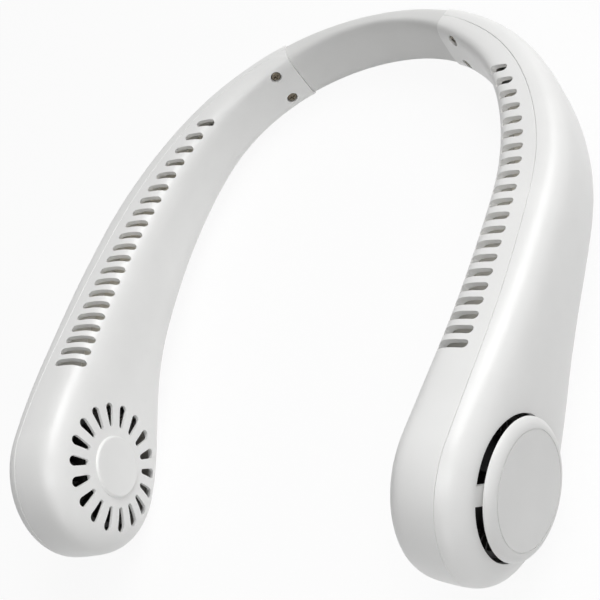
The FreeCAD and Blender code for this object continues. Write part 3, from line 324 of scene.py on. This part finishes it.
def station_curve(values, arc):
    """Smooth curve through the sizes at the nape and the collar, level at the nape."""
    nape, collar, middle = values
    share = abs(arc) / COLLAR_ARC
    slope = (middle - nape) / MIDDLE_ARC * COLLAR_ARC
    blend = 3 * share ** 2 - 2 * share ** 3
    return nape + (collar - nape) * blend + slope * (share ** 3 - share ** 2)


def band_point(arc, outward, upward):
    """Point at an arc length round the neck, off the middle of the nape's section."""
    heading = arc / BAND_RADIUS
    reach = BAND_RADIUS + outward
    back = reach * math.cos(heading) - BAND_RADIUS
    return NAPE + SIDEWAYS * (reach * math.sin(heading)) + REARWARD * back + UPWARD * upward


def band_ring(arc, inset):
    """Closed outline of the band's section, sunk by the inset."""
    thickness = station_curve(HALF_THICKNESSES, arc) - inset
    height = station_curve(HALF_HEIGHTS, arc) - inset
    lift = station_curve(RISES, arc) - RISES[0]
    points = []
    for k in range(BAND_SIDES):
        angle = math.tau * k / BAND_SIDES
        cosine = math.cos(angle)
        sine = math.sin(angle)
        size = (abs(cosine) ** SECTION_POWER + abs(sine) ** SECTION_POWER) ** (-1 / SECTION_POWER)
        points.append(band_point(arc, thickness * cosine * size, lift + height * sine * size))
    return points


def skin(rings):
    """Vertices and faces of a closed body through a row of rings."""
    sides = len(rings[0])
    vertices = [point for ring in rings for point in ring]
    faces = [tuple(range(sides)), tuple(reversed(range(len(vertices) - sides, len(vertices))))]
    for row in range(len(rings) - 1):
        for k in range(sides):
            a = row * sides + k
            b = row * sides + (k + 1) % sides
            faces.append((a, a + sides, b + sides, b))
    return vertices, faces


def new_piece(name, rings, slot, materials):
    """Curved piece from the left arm to the right one, shown in place of the node of its name, which is hidden."""
    vertices, faces = skin(rings)
    mesh = bpy.data.meshes.new(name)
    mesh.from_pydata(vertices, [], faces)
    mesh.polygons.foreach_set("use_smooth", [True] * len(faces))
    mesh.set_sharp_from_angle(angle=math.radians(SHARP_ANGLE))
    mesh.materials.append(materials[slot])
    piece = bpy.data.objects.new(name + "_bent", mesh)
    bpy.context.scene.collection.objects.link(piece)
    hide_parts(name)
    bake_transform(piece)


def add_band(materials):
    """Band with rounded end rims and a pocket at each end for the tongue of the arm's insert."""
    outside = BAND_ARC - BAND_EDGE
    half = [(BAND_ARC - POCKET_DEPTH, POCKET_INSET), (BAND_ARC, POCKET_INSET)]
    for k in range(EDGE_STEPS):
        turn = math.pi / 2 * (1 - k / EDGE_STEPS)
        half.append((outside + BAND_EDGE * math.sin(turn), BAND_STEP + BAND_EDGE * (1 - math.cos(turn))))
    body = [(outside * (2 * k / BAND_SPANS - 1), BAND_STEP) for k in range(BAND_SPANS + 1)]
    row = [(-arc, inset) for arc, inset in half] + body + half[::-1]
    new_piece("neck_band", [band_ring(arc, inset) for arc, inset in row], "band_silicone", materials)


def sweep(name, section, reach, slot, materials):
    """Piece of one section, in outward and upward offsets, round the neck to one reach on both sides."""
    arcs = [reach * (2 * k / BAND_SPANS - 1) for k in range(BAND_SPANS + 1)]
    new_piece(name, [[band_point(arc, *offset) for offset in section] for arc in arcs], slot, materials)


def add_band_core(materials):
    low = STRIP_OFFSET - STRIP_HALF_THICKNESS
    high = STRIP_OFFSET + STRIP_HALF_THICKNESS
    half = STRIP_HALF_WIDTH
    strip = [(high, -half), (high, half), (low, half), (low, -half)]
    sweep("band_core_strip", strip, STRIP_ARC, "spring_steel", materials)
    turns = [math.tau * k / HARNESS_SIDES for k in range(HARNESS_SIDES)]
    cable = [(HARNESS_OFFSET + HARNESS_RADIUS * math.cos(a), HARNESS_RADIUS * math.sin(a)) for a in turns]
    sweep("band_harness", cable, HARNESS_ARC, "cable_black", materials)


add_camera()
add_world()
add_floor()
for lamp_name, (lamp_place, lamp_size, lamp_power) in LAMPS.items():
    add_lamp(lamp_name, lamp_place, lamp_size, lamp_power)
finishes = slot_materials()
dress_nodes(finishes)
add_band(finishes)
add_band_core(finishes)

bpy.context.scene.view_settings.view_transform = "Standard"
bpy.context.scene.cycles.diffuse_bounces = LIGHT_BOUNCES
